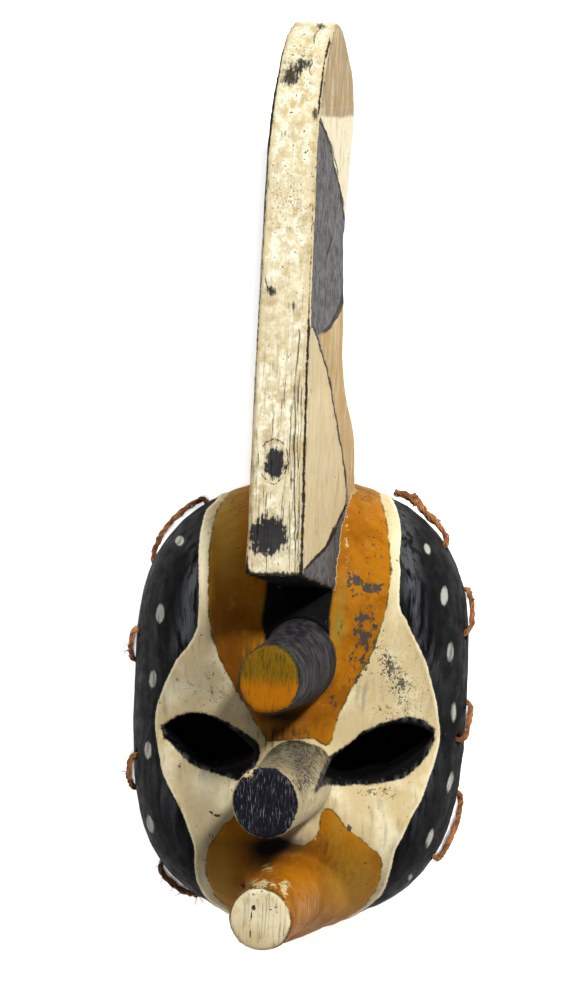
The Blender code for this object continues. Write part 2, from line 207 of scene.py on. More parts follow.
def noiseOver(spots, scale, seed=0.0):
    # soft noise from -1 to 1, one bump about every 1 / scale metres
    away = Vector((seed, seed * 1.7, -seed))
    return np.array([noise.noise(Vector(spot) * scale + away) for spot in spots])


def rise(value, low, high):
    t = np.clip((value - low) / (high - low), 0.0, 1.0)
    return t * t * (3 - 2 * t)


# Painted borders, as points of the picture. They are cast on the wood from the camera's place.
borders = {
    "foreheadLeft": [
        (238, 470), (229, 492), (217, 511), (212, 531), (209, 553), (208, 598), (209, 618), (212, 634),
        (216, 647), (221, 661), (229, 677), (237, 692), (244, 703), (251, 714), (259, 727), (268, 741)
    ],
    "foreheadRight": [
        (370, 470), (377, 487), (382, 502), (386, 518), (388, 534), (390, 553), (391, 569), (389, 588),
        (386, 609), (381, 626), (376, 642), (370, 657), (363, 669), (357, 679), (351, 689), (346, 701),
        (339, 714), (335, 728), (331, 742), (325, 745), (314, 738)
    ],
    "cheekLeft": [
        (230, 470), (219, 497), (206, 512), (201, 531), (199, 553), (199, 598), (198, 618), (197, 628),
        (192, 639), (187, 647), (178, 658), (171, 671), (165, 685), (159, 701), (156, 716), (156, 730),
        (158, 744), (160, 757), (163, 773), (171, 790), (179, 805), (185, 820), (192, 838), (195, 850),
        (195, 863), (197, 879), (203, 893), (213, 903), (223, 910), (240, 922)
    ],
    "cheekRight": [
        (378, 470), (386, 490), (394, 503), (399, 518), (401, 537), (399, 559), (400, 574), (399, 594),
        (400, 609), (405, 618), (411, 631), (418, 645), (426, 663), (431, 682), (436, 701), (438, 716),
        (440, 729), (439, 744), (434, 763), (427, 783), (420, 802), (410, 819), (402, 837), (395, 850),
        (391, 866), (386, 884), (381, 895), (373, 902), (363, 910), (340, 925)
    ],
    "mouth": [
        (252, 800), (240, 810), (231, 820), (224, 825), (216, 837), (210, 845), (207, 855), (206, 869),
        (208, 879), (213, 892), (221, 902), (229, 910), (245, 935), (270, 960), (340, 940), (361, 910),
        (371, 898), (378, 887), (381, 872), (381, 858), (371, 848), (358, 837), (345, 827), (337, 815),
        (328, 809), (321, 814), (319, 830), (311, 841), (300, 846), (280, 838), (265, 815)
    ],
    "leftEye": [
        (162, 731), (160, 726), (165, 723), (174, 717), (186, 713), (204, 713), (219, 718), (231, 724),
        (243, 731), (251, 736), (258, 742), (261, 752), (256, 765), (246, 778), (237, 781), (231, 778),
        (223, 776), (210, 772), (198, 768), (190, 763), (180, 754), (172, 745), (164, 739)
    ],
    "rightEye": [
        (352, 741), (363, 731), (379, 724), (394, 719), (410, 716), (425, 720), (435, 729), (435, 740),
        (428, 755), (417, 768), (404, 778), (388, 782), (371, 785), (355, 785), (340, 786), (327, 785),
        (321, 787), (314, 794), (313, 790), (318, 780), (322, 770), (328, 757)
    ],
    # black paint under the blade's foot and above the forehead peg, its soft left edge painted shade
    "recess": [
        (268, 566), (330, 566), (333, 590), (331, 604), (329, 618), (330, 634), (322, 646), (266, 646),
        (262, 620), (266, 596)
    ],
    "oval": [
        (264, 445), (270, 440), (278, 440), (285, 446), (288, 457), (286, 470), (280, 480), (273, 484),
        (264, 477), (259, 465), (259, 453)
    ],
}

# Pale dabs on the black bands: middle, half width, half height, lean
dabs = [
    (160.5, 613.5, 4.0, 9.2, 0.08), (153, 679, 3.6, 8.6, 0.05), (148, 750, 3.5, 8.3, -0.05),
    (150.5, 824, 3.2, 8.6, -0.2), (180, 541, 4.2, 4.8, 0.3), (427, 549, 2.7, 5.4, -0.3),
    (444, 596, 3.6, 9.2, 0.04), (450.5, 652, 3.1, 9.0, 0.03), (453.5, 712, 2.5, 8.6, 0.03),
    (450, 782, 2.3, 9.4, 0.22), (429.5, 838, 2.3, 8.6, 0.35), (410, 877, 1.8, 3.2, 0.4)
]

# Zones on the blade's right side, which the left side repeats
bladeZones = {
    "tanTip": [
        (330, 10), (372, 10), (362, 114), (340, 118), (316, 115), (322, 90), (328, 50)
    ],
    "creamTop": [
        (318, 108), (362, 107), (358, 150), (352, 190), (344, 219), (340, 191), (334, 167), (327, 137)
    ],
    "tanHeel": [
        (345, 290), (360, 300), (374, 380), (374, 500), (352, 508), (346, 486), (344, 468), (339, 436),
        (334, 409), (329, 379), (323, 357), (318, 336), (326, 331), (331, 324), (338, 310)
    ],
    "lens": [
        (306, 330), (313, 328), (323, 357), (329, 379), (334, 409), (339, 436), (344, 468), (346, 486),
        (345, 505), (341, 513), (335, 527), (327, 545), (315, 559), (304, 570), (296, 574), (298, 450)
    ],
}

# Thin dark lines: half width in dots, then the points from the top down. The blade's sides, then its front
sideLines = [
    (2.3, [(346, 284), (339, 309), (331, 324), (324, 333)]),
    (0.7, [(313, 327), (323, 357), (329, 379), (334, 409), (339, 436), (344, 468), (346, 488)]),
    (1.9, [(336, 526), (327, 545), (315, 559), (303, 571)]),
    (0.8, [(346, 504), (341, 516), (335, 527)]),
    (0.9, [(317, 119), (327, 137), (334, 167), (340, 191), (344, 222)]),
    (0.5, [(325, 130), (333, 152), (338, 176)]),
    (0.7, [(344, 226), (343, 234)]),
    (0.6, [(331, 236), (329, 246), (326, 256)]),
]
frontLines = [
    (0.6, [(300, 330), (298, 352), (296, 372), (295, 400), (295, 440), (294, 480), (295, 520), (295, 560),
           (294, 580)]),
    (0.3, [(298, 424), (298, 455), (299, 500), (298, 545), (298, 577)]),
    (0.3, [(291, 405), (290, 446), (291, 490)]),
    (0.25, [(289, 500), (290, 530), (289, 572)]),
    (0.7, [(265, 276), (266, 284), (270, 290), (278, 294)]),
    (0.5, [(286, 60), (291, 70), (286, 80), (284, 88)]),
    (0.5, [(305, 56), (312, 62), (309, 70), (313, 76)]),
    (0.5, [(296, 60), (301, 66), (297, 74), (302, 80)]),
    (0.6, [(322, 22), (319, 30), (315, 36), (314, 44)]),
]
# Cracks in the chin peg's end, and chips beside the mouth
crackLines = [(0.9, [(253, 909), (250, 922), (250, 938)]), (0.7, [(266, 912), (274, 908), (281, 905)])]
chipLines = [(1.2, [(210, 812), (214, 814.5)]), (1.5, [(216, 815.5), (222, 815)])]

# Dark lines along the corners of the blade's front: rows of the picture, and widths in millimetres there
cornerWidths = {
    "left": ((20, 55, 90, 128, 150, 300, 420, 555, 568, 590),
             (0.5, 1.2, 1.5, 1.5, 1.2, 0.9, 0.6, 0.7, 1.9, 2.4)),
    "right": ((20, 40, 112, 122, 196, 206, 300, 330, 400, 560, 572),
              (0.6, 1.1, 1.1, 0.0, 0.0, 0.7, 0.8, 1.15, 1.2, 1.2, 1.6)),
}
# Soft patches: strength, middle, half sizes, lean
patches = {
    "speck": [
        (1.1, 386, 660, 9, 24, -0.3), (0.95, 402, 684, 15, 24, -0.6), (0.7, 392, 712, 30, 12),
        (0.95, 376, 792, 22, 8), (0.7, 312, 775, 12, 30), (0.5, 292, 200, 40, 90), (0.6, 300, 60, 22, 30),
        (0.55, 212, 690, 30, 30), (0.7, 405, 540, 4, 34, -0.1), (0.8, 262, 888, 18, 9),
        (1.0, 298, 765, 13, 34), (0.6, 374, 540, 14, 30)
    ],
    "worn": [
        (1.5, 355, 580, 9, 8), (1.45, 373, 587, 10, 6), (1.0, 366, 620, 15, 26),
        (0.95, 358, 660, 15, 26, 0.3), (0.7, 374, 540, 5, 16, 0.2), (0.7, 346, 830, 10, 6, -0.6),
        (0.7, 334, 700, 8, 14)
    ],
    "olive": [(1.0, 338, 626, 6, 20, 0.05), (0.5, 342, 590, 4, 20)],
    "green": [
        (0.7, 366, 492, 13, 14), (1.35, 272, 660, 36, 22), (0.6, 212, 625, 4, 40), (0.5, 325, 850, 8, 20),
        (0.5, 240, 500, 20, 14), (0.3, 350, 870, 24, 22)
    ],
    # dark smudges on the blade's front, and painted shadow on the nose's top under the forehead peg
    "smudgeAndShade": [
        (1.15, 300, 66, 16, 8, -0.35), (1.0, 291, 80, 11, 8), (0.9, 272, 291, 11, 5, 0.4),
        (0.85, 293, 306, 8, 6), (1.1, 321, 27, 6, 4), (0.85, 316, 114, 6, 8), (0.75, 284, 134, 7, 5),
        (0.65, 267, 184, 4, 9), (0.6, 286, 356, 9, 10), (0.6, 299, 395, 5, 40), (0.6, 298, 128, 6, 4),
        (0.55, 270, 345, 5, 4), (0.8, 293, 448, 3, 26), (0.55, 290, 734, 34, 11), (0.5, 266, 750, 12, 18),
        (0.45, 300, 790, 14, 30), (0.8, 248, 886, 10, 5), (0.6, 268, 881, 8, 3)
    ],
    "core": [(2.0, 274.5, 463, 11.5, 17), (2.0, 268.5, 536, 21, 23)],
    "pale": [
        (0.9, 267, 868, 7, 5), (1.0, 262, 884, 17, 5), (0.8, 284, 890, 6, 8), (0.9, 308, 834, 9, 8),
        (0.8, 346, 540, 2.5, 22, 0.05), (0.8, 252, 772, 12, 4, -0.5), (0.6, 312, 800, 8, 22)
    ],
    "streaks": [
        (1.3, 191, 600, 9, 46, 0.15), (0.6, 178, 640, 7, 18, 0.3), (1.3, 408, 560, 10, 58, -0.15),
        (0.9, 424, 640, 7, 40, -0.3), (0.5, 168, 800, 10, 34, -0.3), (0.6, 424, 790, 8, 44, 0.35),
        (0.6, 318, 650, 14, 30), (0.4, 180, 541, 14, 9), (0.9, 390, 712, 34, 5)
    ],
    # painted light on the orange: left of the blade's foot and on both sides of the mouth
    "orangeLit": [
        (1.1, 226, 530, 15, 60), (0.8, 352, 880, 26, 34), (1.0, 224, 868, 14, 30), (0.5, 336, 830, 8, 18)
    ],
    # painted shade greying the cream, mostly on the left cheek, which is turned from the light, and on the
    # nose
    "greyShade": [
        (0.85, 205, 680, 36, 34), (0.85, 204, 806, 30, 44), (0.45, 252, 735, 10, 24),
        (0.5, 300, 800, 12, 26)
    ],
    "pink": [(0.9, 306, 906, 12, 17, 0.5), (0.4, 300, 930, 14, 8)],
    # painted shadows: under the forehead peg, on the nose's top and under the nose
    "shade": [
        (1.15, 276, 845, 33, 11), (0.6, 262, 860, 15, 12), (0.9, 279, 716, 24, 6), (0.5, 286, 733, 26, 12)
    ],
    # painted shade on the orange beside and below the blade's foot and under the nose
    "orangeShade": [
        (0.8, 236, 640, 20, 46), (0.6, 290, 860, 40, 12), (0.8, 238, 682, 22, 26), (0.5, 200, 690, 34, 40)
    ],
    # painted light on the cream strips beside the forehead and at the left of the jaw
    "stripLit": [(1.0, 204, 560, 5, 62), (0.6, 395, 560, 5, 60), (0.7, 205, 880, 5, 30)],
}

outside = -20.0      # stands for far outside a painted zone
dotMm = 0.5          # one dot of the picture is about half a millimetre on the wood


def onCurve(a, b, c, d, t):
    # a place between b and c on the smooth curve through all four
    return 0.5 * (2 * b + (c - a) * t + (2 * a - 5 * b + 4 * c - d) * t * t
                  + (3 * b - a - 3 * c + d) * t ** 3)


def smoothLine(points, steps=4):
    line = []
    ends = [points[0]] + list(points) + [points[-1]]
    for four in zip(ends, ends[1:], ends[2:], ends[3:]):
        for k in range(steps):
            line.append(tuple(onCurve(*values, k / steps) for values in zip(*four)))
    return line + [points[-1]]


def lineGap(px, py, line):
    best = np.full(px.shape, 1e9)
    for (ax, ay), (bx, by) in zip(line, line[1:]):
        dx, dy = bx - ax, by - ay
        t = np.clip(((px - ax) * dx + (py - ay) * dy) / (dx * dx + dy * dy + 1e-12), 0.0, 1.0)
        best = np.minimum(best, np.hypot(px - ax - t * dx, py - ay - t * dy))
    return best


def zoneDepth(px, py, ring):
    # how far inside a closed border a point is seen, and below zero outside it
    closed = list(ring) + [ring[0]]
    inside = np.zeros(px.shape, bool)
    for (ax, ay), (bx, by) in zip(closed, closed[1:]):
        if ay != by:
            inside ^= ((ay > py) != (by > py)) & (px < ax + (py - ay) * (bx - ax) / (by - ay))
    gap = lineGap(px, py, closed)
    return np.where(inside, gap, -gap)


def patchAxes(px, py, x, y, lean):
    # how far points are from a patch's middle, along its own two axes
    u = (px - x) * math.cos(lean) + (py - y) * math.sin(lean)
    v = (py - y) * math.cos(lean) - (px - x) * math.sin(lean)
    return u, v


def blob(px, py, x, y, wide, tall, lean=0.0):
    # a soft round patch, 1 in its middle
    u, v = patchAxes(px, py, x, y, lean)
    return np.exp(-(u / wide) ** 2 - (v / tall) ** 2)


# Pegs: height and middle of the end, half sizes of end and root, and how the foot flares
pegs = {
    "forehead": {
        "y": 0.0289, "end": 0.1500, "root": 0.0680, "half": (0.0147, 0.0165), "foot": (0.0205, 0.0235),
        "up": 0.0055, "off": 0.0, "footOff": -0.0015, "flare": 1.5,
    },
    "nose": {
        "y": -0.0297, "end": 0.1420, "root": 0.0640, "half": (0.0162, 0.0168), "foot": (0.0202, 0.0275),
        "up": 0.0080, "off": -0.0011, "footOff": 0.0, "flare": 2.6,
    },
    "chin": {
        "y": -0.0870, "end": 0.1320, "root": 0.0400, "half": (0.0153, 0.0150), "foot": (0.0350, 0.0330),
        "up": 0.0080, "off": -0.0036, "footOff": -0.0030, "flare": 2.2,
    },
}


def pegInset(own, peg):
    # how far inside the peg's end disc a point is, and how far below the disc
    share = np.clip((own[:, 2] - peg["root"]) / (peg["end"] - peg["root"]), 0.0, 1.0)
    swell = (1 - share) ** peg["flare"]
    x = own[:, 0] - keelX(own[:, 2]) - peg["off"] - (peg["footOff"] - peg["off"]) * swell
    y = own[:, 1] - peg["y"]
    wide, tall = (end + (foot - end) * swell for end, foot in zip(peg["half"], peg["foot"]))
    q = np.hypot(x / wide, (y - peg["up"] * swell) / tall)
    below = peg["end"] + x * keel["slope"] - own[:, 2]
    return (1 - q) * wide, below


# Carved mask
maskSkin = {
    "voxel": 0.0015,
    "insideKeep": 0.16,      # share of the faces kept inside, where nothing fine shows
    "scallop": 0.00026,      # depth of the adze marks on the outside
    "insideScallop": 0.0008,
    "wobble": 0.00035,
    "cornerWear": 0.0007,
    "ridge": 0.00055,        # the light ridge along the cheek panels' outer border
    "groove": 0.00035,
    "cells": (75, 55, 75),   # adze marks to a metre, along x, y and z
    "flatRim": (0.0006, 0.004),      # heights: no marks below the first, all of them above the second
    "paintDepth": 9,         # millimetres behind the middle of the wall that paint can reach
    "bareShift": 6.0,        # millimetres deeper that bare wood begins above the rim, at the eye slits
    "bareHeights": (0.025, 0.040),
    "bump": 0.0004,
}
blade = {
    "foot": 0.0775, "waist": 0.1986, "tip": 0.3450, "thick": (0.0268, 0.0248, 0.0218), "bow": 0.0008,
    "gauge": 0.003,          # spacing of the places where the front's height is read
    "capFrom": 0.336,        # past here the top end is painted like the front
    "footRow": 575,          # row of the picture where the front's paint ends
}


def bladeHalf(y):
    marks = (blade["foot"], blade["waist"], blade["tip"])
    return np.interp(y, marks, blade["thick"]) / 2


def acrossBlade(x, y, z):
    # how far to the right of the blade's own middle plane, which bows a little
    along = np.clip((y - blade["foot"]) / (blade["tip"] - blade["foot"]), 0.0, 1.0)
    return x - keelX(z) + blade["bow"] * np.sin(np.pi * along)


def insideDepth(own):
    # millimetres behind the middle of the wall, towards the hollow
    x, y, z = own.T
    x = x - leanOff(y)
    middle = wallReach(np.arctan2(x, y), z, shell["rimWall"] * 0.55, shell["frontWall"] * 0.55)
    hollow = middle - np.hypot(x, y)
    under = cheekHeight(x, y, shell["frontWall"] * 0.5) - z
    depth = np.minimum(hollow, under) * 1000
    depth[z > shell["depth"] - shell["frontWall"] * 0.4] = -5.0
    return depth


def carveSkin():
    skin = mergedCopy(nodes["carved_mask"], "mask_wood")
    remesh = skin.modifiers.new("remesh", "REMESH")
    remesh.mode = "VOXEL"
    remesh.voxel_size = maskSkin["voxel"] * 1.0
    remesh.use_smooth_shade = True
    applyModifiers(skin)
    deep = insideDepth(readVertices(skin.data, "co") - faceMiddle)
    group = skin.vertex_groups.new(name="hollow")
    group.add([int(i) for i in np.nonzero(deep > 1.0)[0]], 1.0, "REPLACE")
    share = float((deep > 1.0).mean())
    thin = skin.modifiers.new("thin", "DECIMATE")
    thin.vertex_group = "hollow"
    thin.vertex_group_factor = 10.0
    thin.ratio = 1 - share * (1 - maskSkin["insideKeep"])
    applyModifiers(skin)
    skin.vertex_groups.clear()
    return skin


def frontHeight(own, normals, half):
    # height of the blade's front edge along its length
    y, z = own[:, 1], own[:, 2]
    near = (y > 0.0785) & (z > 0.1) & (normals[:, 2] > 0.75)
    near &= np.abs(acrossBlade(own[:, 0], y, z)) < half * 0.7
    marks = np.arange(0.079, 0.3455, blade["gauge"])
    tops = []
    for mark in marks:
        here = near & (np.abs(y - mark) < blade["gauge"])
        tops.append(float(np.median(z[here])) if here.any() else tops[-1])
    return np.interp(y, marks, tops)


def shapeFields(spots, normals):
    own = spots - faceMiddle
    px, py = onPicture(spots)
    x, y, z = own.T
    field = {"px": px, "py": py, "own": own, "inside": insideDepth(own)}
    field["proud"] = (z - shellHeight(x, y)) * 1000
    across = acrossBlade(x, y, z)
    half = bladeHalf(y)
    onBlade = (y > shell["topReach"] + 0.001) | ((y > 0.0635) & (np.abs(across) < half + 0.0009)
                                                 & (field["proud"] > 0.6) & (z > 0.03))
    onBlade &= field["inside"] < 0
    field["onBlade"] = onBlade
    field["left"] = across < 0
    field["below"] = np.maximum(frontHeight(own, normals, half) - z, 0.0) * 1000
    field["edgeSide"] = np.maximum(half - np.abs(across), -0.0005) * 1000
    field["corner"] = np.hypot(field["edgeSide"], field["below"])
    mirrored = spots.copy()
    mirrored[:, 0] += np.abs(across) - across
    field["bladePx"], field["bladePy"] = onPicture(mirrored)
    return field


def betweenBorders(px, py, left, right):
    return zoneDepth(px, py, smoothLine(borders[left]) + smoothLine(borders[right])[::-1])


def drawnLines(px, py, lines):
    # above zero inside any of the lines
    best = np.full(px.shape, outside)
    for half, line in lines:
        best = np.maximum(best, half - lineGap(px, py, smoothLine(line)))
    return best


def paintFields(normals, field):
    px, py = field["px"], field["py"]
    onBlade, wood = field["onBlade"], field["inside"] < maskSkin["paintDepth"]
    onShell = wood & ~onBlade
    orange = np.maximum(betweenBorders(px, py, "foreheadLeft", "foreheadRight"),
                        zoneDepth(px, py, smoothLine(borders["mouth"])))
    cheek = betweenBorders(px, py, "cheekLeft", "cheekRight")
    eyes = np.maximum(zoneDepth(px, py, smoothLine(borders["leftEye"])),
                      zoneDepth(px, py, borders["rightEye"]))

    ends, bodies = {}, {}
    for name, peg in pegs.items():
        inset, below = pegInset(field["own"], peg)
        ends[name] = np.minimum(inset * 1000, 3.0 - below * 1000) / dotMm
        body = np.minimum(field["proud"] - 2.0, below * 1000 + 3.0)
        bodies[name] = np.minimum(inset * 1000 + 2.0, body) / dotMm
    orange = np.minimum(np.minimum(orange, -bodies["forehead"]), -bodies["nose"])
    orange = np.minimum(np.maximum(orange, bodies["chin"]), -ends["chin"])
    orange = np.maximum(orange, ends["forehead"] - 0.6)
    cream = np.maximum(np.minimum(cheek, -bodies["forehead"]), bodies["nose"])
    cream = np.maximum(np.minimum(cream, -ends["forehead"]), ends["chin"])

    bx, by = field["bladePx"], field["bladePy"]
    front = np.clip(np.minimum((normals[:, 2] - 0.35) * 6, (3.5 - field["below"]) * 2), -3.0, 3.0)
    capped = (field["own"][:, 1] > blade["capFrom"]) & (np.abs(normals[:, 0]) < 0.6) & (normals[:, 2] > -0.3)
    front = np.where(capped, 3.0, front)
    dark = (normals[:, 2] < -0.35) | (normals[:, 1] < -0.6)
    depths = {name: zoneDepth(bx, by, ring) for name, ring in bladeZones.items()}
    creamSide = np.where(dark, -8.0, np.maximum(depths["creamTop"], depths["lens"]))
    tanSide = np.where(dark, -8.0, np.maximum(depths["tanTip"], depths["tanHeel"]))
    cream = np.where(onBlade, np.maximum(front, creamSide), cream)
    tan = np.where(onBlade, np.minimum(tanSide, -front), outside)
    orange = np.where(onBlade, outside, orange)
    recess = np.where(onBlade, outside, zoneDepth(px, py, borders["recess"]))
    foot = onBlade & (py > 560) & (field["below"] < 9)
    cream = np.where(foot, np.minimum(cream, blade["footRow"] + 0.5 - py), cream)

    values = {
        "cream": np.minimum(cream, -recess) * dotMm,
        "orange": np.minimum(orange, -recess) * dotMm,
        "tan": tan * dotMm,
        "bladeFront": np.where(onBlade, front, outside),
        "cheek": np.where(onShell & (field["proud"] < 3), cheek * dotMm, -outside),
    }
    shellZones = {
        "recess": recess, "eyeRim": eyes, "pegBody": bodies["forehead"], "noseBody": bodies["nose"],
        "foreheadEnd": ends["forehead"], "noseEnd": ends["nose"], "chinEnd": ends["chin"],
    }
    for name, value in shellZones.items():
        values[name] = np.where(onShell, value * dotMm, outside)
    for name, value in values.items():
        values[name] = np.where(wood, value, outside)
    shift = maskSkin["bareShift"] * rise(field["own"][:, 2], *maskSkin["bareHeights"])
    values["inside"] = field["inside"] - shift
    values["bladeSide"] = np.where(onBlade & ~dark & (front < 0), 1.0, 0.0)
    values["high"] = np.clip((300 - by) / 90, 0.0, 1.0)
    values["edgeSide"] = np.where(onBlade, field["edgeSide"], -outside)
    values["edgeBelow"] = np.where(onBlade, field["below"], -outside)
    left, right = (np.interp(py, *cornerWidths[name]) for name in ("left", "right"))
    values["edgeWidth"] = np.where(onBlade, np.where(field["left"], left, right), 0.0)
    values["seenX"], values["seenY"], values["sideX"], values["sideY"] = px, py, bx, by
    values["grainy"] = np.clip((py - 330) / 90, 0.25, 1.0)

    oval = zoneDepth(px, py, smoothLine(borders["oval"] + borders["oval"][:1]))
    values["oval"] = np.where(onBlade & (front > 0), oval * dotMm, outside)
    knot = 2.6 - np.hypot((px - 253.5) / 0.8, (py - 907.5) / 1.5)
    knot = np.where(values["chinEnd"] > 0, np.maximum(knot, drawnLines(px, py, crackLines)), outside)
    chip = np.where(onShell, np.maximum(drawnLines(px, py, chipLines), knot), outside)
    values["drawn"] = chip * dotMm
    spot = np.full(px.shape, outside)
    for x, y, wide, tall, lean in dabs:
        u, v = patchAxes(px, py, x, y, lean)
        spot = np.maximum(spot, (1 - np.hypot(u / wide, v / tall)) * wide)
    values["dab"] = np.where(onShell, spot * dotMm, outside)

    soft = {}
    for name, rows in patches.items():
        soft[name] = sum(strength * blob(px, py, *patch) for strength, *patch in rows)
    # a dark band across the foot of the blade's front
    onFront = onBlade & (front > 0) & (normals[:, 2] > 0.3)
    band = 1.3 * np.exp(-((py - blade["footRow"]) / 3.6) ** 2)
    soft["smudgeAndShade"] += band * onFront + 1.1 * blob(px, py, 247, 574, 5, 8) * onFront
    # soft patches only where the camera sees the wood
    toCamera = np.array(shot["spot"]) - faceMiddle - field["own"]
    facing = np.sum(toCamera * normals, axis=1) / np.linalg.norm(toCamera, axis=1)
    seen = rise(facing, -0.05, 0.12) * wood
    for name, value in soft.items():
        values[name] = value * seen
    values["core"] = soft["core"] * onFront
    return values


def dressMask():
    skin = carveSkin()
    spots, normals = (readVertices(skin.data, what) for what in ("co", "normal"))
    field = shapeFields(spots, normals)
    values = paintFields(normals, field)
    inside = rise(field["inside"], -0.5, 0.5)
    cells = np.array([noise.voronoi(Vector(spot))[0][0] for spot in spots * maskSkin["cells"]])
    deep = maskSkin["scallop"] * (1 - inside) + maskSkin["insideScallop"] * inside
    move = deep * (cells * 2 - 0.6) + maskSkin["wobble"] * noiseOver(spots, 38.0, 3.0)
    corner = np.where(field["onBlade"], field["corner"], -outside)
    move -= maskSkin["cornerWear"] * rise(corner, 2.2, 0.2) * (0.35 + noiseOver(spots, 170.0, 9.0))
    move += maskSkin["ridge"] * np.exp(-((values["cheek"] - 1.0) / 1.1) ** 2)
    move -= maskSkin["groove"] * np.exp(-((values["cheek"] + 1.1) / 0.7) ** 2)
    move -= maskSkin["groove"] * np.exp(-(values["orange"] / 0.8) ** 2) * (field["inside"] < 0)
    spots = spots + normals * (move * rise(spots[:, 2], *maskSkin["flatRim"]))[:, None]
    writeSpots(skin.data, spots)
    for name, value in values.items():
        setAttribute(skin.data, name, value)
    skin.data.shade_smooth()
    print("mask wood", sum(len(face.vertices) - 2 for face in skin.data.polygons), "triangles")
    return skin


# Materials: small helpers that wire nodes
def newMaterial(name):
    made = bpy.data.materials.new(name)
    made.use_nodes = True
    return made, made.node_tree, made.node_tree.nodes["Principled BSDF"]


def plug(tree, value, socket):
    if hasattr(value, "node"):
        tree.links.new(value, socket)
    else:
        socket.default_value = value


def calc(tree, kind, first, second=0.0, clamp=False):
    made = tree.nodes.new("ShaderNodeMath")
    made.operation = kind
    made.use_clamp = clamp
    plug(tree, first, made.inputs[0])
    plug(tree, second, made.inputs[1])
    return made.outputs[0]


def stretch(tree, value, low, high, toLow=0.0, toHigh=1.0, smooth=True):
    made = tree.nodes.new("ShaderNodeMapRange")
    made.interpolation_type = "SMOOTHSTEP" if smooth else "LINEAR"
    plug(tree, value, made.inputs["Value"])
    for socket, number in zip(("From Min", "From Max", "To Min", "To Max"), (low, high, toLow, toHigh)):
        plug(tree, number, made.inputs[socket])
    return made.outputs["Result"]


def mixed(tree, share, under, over):
    made = tree.nodes.new("ShaderNodeMix")
    made.data_type = "RGBA"
    plug(tree, share, made.inputs[0])
    plug(tree, under if hasattr(under, "node") else (*under, 1.0), made.inputs[6])
    plug(tree, over if hasattr(over, "node") else (*over, 1.0), made.inputs[7])
    return made.outputs[2]


def attribute(tree, name):
    made = tree.nodes.new("ShaderNodeAttribute")
    made.attribute_name = name
    return made.outputs["Fac"]


def mathTools(tree):
    # plus, minus, times and the larger of two
    return [partial(calc, tree, kind) for kind in ("ADD", "SUBTRACT", "MULTIPLY", "MAXIMUM")]


def noiseAt(tree, scale, detail, rough, warp=0.0, squeeze=1.0, shift=(0.0, 0.0, 0.0)):
    # noise over the object's own coordinates, drawn out along the mask where it is squeezed
    spots = tree.nodes.new("ShaderNodeTexCoord")
    mapping = tree.nodes.new("ShaderNodeMapping")
    mapping.inputs["Scale"].default_value = (1.0, squeeze, 1.0)
    mapping.inputs["Location"].default_value = shift
    tree.links.new(spots.outputs["Object"], mapping.inputs["Vector"])
    made = tree.nodes.new("ShaderNodeTexNoise")
    for socket, number in zip(("Scale", "Detail", "Roughness", "Distortion"), (scale, detail, rough, warp)):
        made.inputs[socket].default_value = number
    tree.links.new(mapping.outputs["Vector"], made.inputs["Vector"])
    return made.outputs["Fac"]


def addBump(tree, shader, height, distance):
    bump = tree.nodes.new("ShaderNodeBump")
    bump.inputs["Distance"].default_value = distance
    bump.inputs["Strength"].default_value = 0.7
    tree.links.new(height, bump.inputs["Height"])
    tree.links.new(bump.outputs["Normal"], shader.inputs["Normal"])


def runningLine(tree, across, along, half, points):
    # a line through points of the picture, told by how far across it lies at each height
    plus, minus, times = mathTools(tree)[:3]
    low, high = points[0][1], points[-1][1]
    left = min(x for x, y in points) - 1.0
    wide = max(x for x, y in points) + 1.0 - left
    curve = tree.nodes.new("ShaderNodeFloatCurve")
    tree.links.new(stretch(tree, along, low, high, smooth=False), curve.inputs["Value"])
    route = curve.mapping.curves[0]
    places = [((y - low) / (high - low), (x - left) / wide) for x, y in points]
    route.points[0].location = places[0]
    route.points[1].location = places[-1]
    for place in places[1:-1]:
        route.points.new(*place)
    curve.mapping.update()
    gap = calc(tree, "ABSOLUTE", minus(across, plus(times(curve.outputs["Value"], wide), left)))
    reach = times(stretch(tree, along, low - 2.0, low + 3.0), stretch(tree, along, high + 2.0, high - 3.0))
    return times(stretch(tree, gap, half + 0.45, half - 0.35), reach)


def allLines(tree, across, along, lines):
    return reduce(partial(calc, tree, "MAXIMUM"), [runningLine(tree, across, along, *line) for line in lines])


paint = {
    "cream": (0.60, 0.49, 0.28),
    "creamPale": (0.83, 0.76, 0.55),
    "creamGrey": (0.28, 0.25, 0.19),
    "creamYellow": (0.60, 0.42, 0.17),
    "frontCream": (0.58, 0.50, 0.32),
    "frontPale": (0.78, 0.745, 0.60),
    "lens": (0.53, 0.43, 0.255),
    "topCream": (0.66, 0.59, 0.43),
    "orange": (0.40, 0.160, 0.004),
    "orangeDeep": (0.22, 0.070, 0.002),
    "orangePale": (0.42, 0.24, 0.035),
    "endOrange": (0.40, 0.145, 0.002),
    "endMustard": (0.21, 0.115, 0.004),
    "pink": (0.42, 0.24, 0.12),
    "olive": (0.28, 0.20, 0.03),
    "green": (0.075, 0.068, 0.012),
    "black": (0.0028, 0.0028, 0.0034),
    "blackRubbed": (0.088, 0.092, 0.100),
    "rimRubbed": (0.085, 0.085, 0.09),
    "bladeGrey": (0.072, 0.068, 0.068),
    "bladeGreyLight": (0.15, 0.144, 0.14),
    "tan": (0.42, 0.29, 0.13),
    "tanTip": (0.33, 0.245, 0.14),
    "dab": (0.44, 0.43, 0.38),
    "bareWood": (0.07, 0.034, 0.015),
    # near black, for dirt, grain lines and specks, and for painted shadows
    "grimeAndShade": (0.014, 0.012, 0.011),
    "blueBlack": (0.012, 0.013, 0.022),
    "brown": (0.10, 0.05, 0.018),
    "stain": (0.40, 0.29, 0.13),
    "worn": (0.060, 0.057, 0.052),
    "pegDark": (0.022, 0.021, 0.023),
    "pegGrey": (0.072, 0.069, 0.072),
    "noseDark": (0.03, 0.026, 0.019),
    "noseGrey": (0.19, 0.165, 0.115),
    "noseGrain": (0.22, 0.21, 0.19),
}


